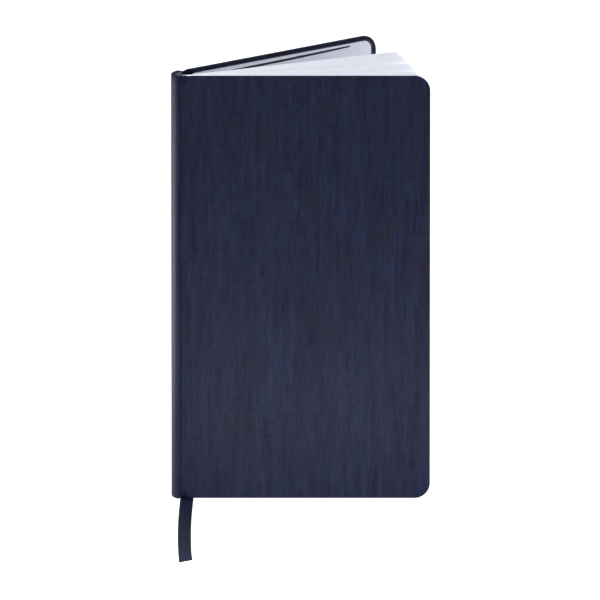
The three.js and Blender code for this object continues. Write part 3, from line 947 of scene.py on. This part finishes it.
class LOGBOOK_OT_leaves(MakerOperator):
    """Make the leaves, four to a group, each leaf turned by its own share of its section's turn"""

    bl_idname = "logbook.leaves"
    bl_label = "Leaves"
    # Each section's first leaf, as a share of the back cover's angle; its last leaf has the section's own
    first_shares = (0.004, 0.05, 0.099, 0.208, 0.28, 0.43, 0.506, 0.583)
    # How far each section's fore-edge is drawn in, as the hollow opposite a rounded back, in millimetres
    hollows = (0.3, 1.0, 1.7, 2.6, 2.7, 2.1, 1.7, 1.1)
    section_thickness = 0.8 * MM
    leaf_start = 9.6 * MM

    def execute(self, context):
        rng = np.random.default_rng(8)
        for section in range(SECTIONS):
            joint = f"leaf_fold_{section + 1}"
            pivot = axis_of(joint)
            last = SHARES[joint]
            shares = np.linspace(self.first_shares[section], last, LEAVES)
            for group in range(GROUPS):
                size = LEAVES // GROUPS
                members = np.arange(group * size, (group + 1) * size)
                parts = [self.leaf(pivot, section, i, shares[i] * OPEN, rng) for i in members]
                name = f"leaves_{section + 1}_{'abc'[group]}"
                piece = build(name, parts, finish_of("leaf_paper"), sharp=30)
                self.hinge(piece, section, pivot, shares[members].mean(), last)
                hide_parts(f"section_{section + 1}")
        self.flyleaves()
        return {"FINISHED"}

    def leaf(self, pivot, section, i, angle, rng):
        """One leaf: a flat sheet with a slight bow along its width, turned about its section's fold line.

        Its trim, height, bow and wave differ a little from leaf to leaf, drawn in that order.
        """
        pitch = self.section_thickness / LEAVES
        start = self.leaf_start
        u, v = np.meshgrid(np.linspace(0, 1, 15), np.linspace(0, 1, 7), indexing="ij")
        trim = rng.uniform(-0.12, 0.12) * MM
        nearby = np.interp(section + (i + 0.5) / LEAVES - 0.5, range(SECTIONS), self.hollows)
        x = start + u * (LEAF_EDGE - nearby * MM + trim - start)
        z = LEAF_FOOT + v * (LEAF_HEAD - LEAF_FOOT) + rng.uniform(-0.04, 0.04) * MM
        bow = rng.uniform(-0.1, 0.25) * MM
        wave = rng.uniform(-0.08, 0.08) * MM
        y = pivot[1] + (i - (LEAVES - 1) / 2) * pitch
        y = y + bow * np.sin(math.pi * u) + wave * u * np.cos(math.pi * v)
        middle = np.stack([x, y, z], -1)
        half = np.array([0, sizes().leaf / 2, 0])
        return slab(turn(middle - half, pivot, angle), turn(middle + half, pivot, angle))

    def hinge(self, piece, section, pivot, share, last):
        """Bakes the group's placement into its points; each leaf was already turned by its own share.

        Its section, pivot, share and last are not used.
        """
        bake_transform(piece)

    def upright_sheet(self, left, right, y, low, high):
        """A flat grid of points that faces the front."""
        u, v = np.meshgrid(np.linspace(left, right, 20), np.linspace(low, high, 9), indexing="ij")
        return np.stack([u, np.full(u.shape, y), v], -1)

    def flyleaves(self):
        """The blank leaves at each end; the back one keeps to the last section."""
        low, high = (np.array(c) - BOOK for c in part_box("front_flyleaf"))
        front = self.upright_sheet(9 * MM, high[0], low[1], low[2], high[2])
        sheet = slab(front, front + [0, high[1] - low[1], 0])
        piece = build("front_flyleaf_sheet", [sheet], finish_of("leaf_paper"))
        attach(piece, "spine")
        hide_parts("front_flyleaf")
        pivot = axis_of("leaf_fold_8")
        offset, thickness = 0.42 * MM, 0.12 * MM
        right = LEAF_EDGE - self.hollows[-1] * MM
        front = self.upright_sheet(10 * MM, right, pivot[1] + offset, LEAF_FOOT, LEAF_HEAD)
        angle = SHARES["leaf_fold_8"] * OPEN
        faces = [turn(front, pivot, angle), turn(front + [0, thickness, 0], pivot, angle)]
        piece = build("back_flyleaf_sheet", [slab(*faces)], finish_of("leaf_paper"))
        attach(piece, "leaves_8")
        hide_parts("back_flyleaf")


class LOGBOOK_OT_binding(MakerOperator):
    """Make the sewn folds and the head and tail bands, and finish the pieces inside the spine"""

    bl_idname = "logbook.binding"
    bl_label = "Binding"

    def execute(self, context):
        folds = build("folded_sections", [slab(*self.folds())], finish_of("block"), sharp=30)
        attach(folds, "spine")
        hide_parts("sewn_folds")
        for name in ("headband", "tailband"):
            band = build(f"{name}_wound", [self.band(name)], finish_of("band"), weld=1e-6)
            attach(band, "spine")
            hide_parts(name)
        for node in ("front_board", "back_board"):
            self.finish(node, "board")
        for node in ("spine_stiffener", "spine_lining"):
            self.finish(node, "card")
        # The back pastedown and gusset are navy lining; seen through the pocket's slot, the pastedown is painted
        # shade in the pocket's mouth
        for node in ("back_pastedown", "pocket_gusset"):
            self.finish(node, "pocket_cloth")
        self.finish("mull", "mull")
        for i in range(5):
            self.finish(f"sewing_thread_{i + 1}", "thread")
        return {"FINISHED"}

    def finish(self, node, slot):
        piece = frame["nodes"][node]
        piece.data.materials.clear()
        piece.data.materials.append(finish_of(slot))

    def folds(self):
        """The glued folds: eight rounded backs side by side on the spine's curve, straight up the book.

        Points run in even steps across the sections, and each back bulges by a half sine. Only the middle
        sections reach the round of the spine; the outer ones are backed 5.6 mm away from the joints.
        """
        low, high = (np.array(c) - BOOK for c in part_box("sewn_folds"))
        y = np.linspace(low[1], high[1], SECTIONS * 10 + 1)
        radius, centre, bulge, backed = 6.98 * MM, 8.98 * MM, 0.16 * MM, 5.6 * MM
        back = centre - np.sqrt(radius**2 - (y - THICK / 2) ** 2)
        scallop = bulge * np.abs(np.sin((y - low[1]) / (high[1] - low[1]) * SECTIONS * math.pi))
        back = back + bulge - scallop
        across = np.linspace(0, 1, 6)
        shoulder = ease((np.abs(y - THICK / 2) - 1.6 * MM) / (1.4 * MM))
        back = back + backed * shoulder
        x = back[:, None] * (1 - across) + high[0] * across
        top = np.stack([x, np.broadcast_to(y[:, None], x.shape), np.full(x.shape, high[2])], -1)
        return top, top * [1, 1, 0] + [0, 0, low[2]]

    def band(self, name):
        """A flat woven band bent along the folds, with the thread's turns as ridges along it.

        The centre follows a circle in plan. The section is an ellipse, wider than it is high, whose size is
        a core plus a rectified sine.
        """
        low, high = (np.array(c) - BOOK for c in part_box(name))
        centre_z = (low[2] + high[2]) / 2
        radius, centre, half_angle, wider = 5.5 * MM, 8.98 * MM, 0.62, 2.9
        core, ridge, ridge_rate = 0.45 * MM, 0.08 * MM, 60
        t = np.linspace(-half_angle, half_angle, 120)
        turns = np.linspace(0, 2 * math.pi, 17)
        size = core + ridge * np.abs(np.sin(t * ridge_rate))
        size[[0, -1]] = 0.0
        ring = radius + wider * size[:, None] * np.cos(turns)
        x = centre - ring * np.cos(t)[:, None]
        y = THICK / 2 + ring * np.sin(t)[:, None]
        z = centre_z + size[:, None] * np.sin(turns)
        points = np.stack([x, y, z], -1)
        return points.reshape(-1, 3), grid(len(t), len(turns)), unit_uv(len(t), len(turns))


class LOGBOOK_PT_panel(bpy.types.Panel):
    """Lists the logbook's operators in the sidebar"""

    bl_idname = "LOGBOOK_PT_panel"
    bl_label = "Logbook"
    bl_space_type = "VIEW_3D"
    bl_region_type = "UI"
    bl_category = "Logbook"

    def draw(self, context):
        for operator in OPERATORS:
            self.layout.operator(operator.bl_idname)


OPERATORS = (
    LOGBOOK_OT_stage,
    LOGBOOK_OT_ribbon,
    LOGBOOK_OT_covers,
    LOGBOOK_OT_spine,
    LOGBOOK_OT_leaves,
    LOGBOOK_OT_binding,
)
CLASSES = (LogbookSizes, LogbookColours, *OPERATORS, LOGBOOK_PT_panel)


def register():
    for each in CLASSES:
        bpy.utils.register_class(each)
    bpy.types.Scene.logbook_sizes = bpy.props.PointerProperty(type=LogbookSizes)
    bpy.types.Scene.logbook_colours = bpy.props.PointerProperty(type=LogbookColours)


def unregister():
    del bpy.types.Scene.logbook_colours
    del bpy.types.Scene.logbook_sizes
    for each in reversed(CLASSES):
        bpy.utils.unregister_class(each)


def main():
    register()
    bpy.ops.logbook.stage()
    bpy.ops.logbook.ribbon()
    bpy.ops.logbook.covers()
    bpy.ops.logbook.spine()
    bpy.ops.logbook.leaves()
    bpy.ops.logbook.binding()


if __name__ == "__main__":
    main()
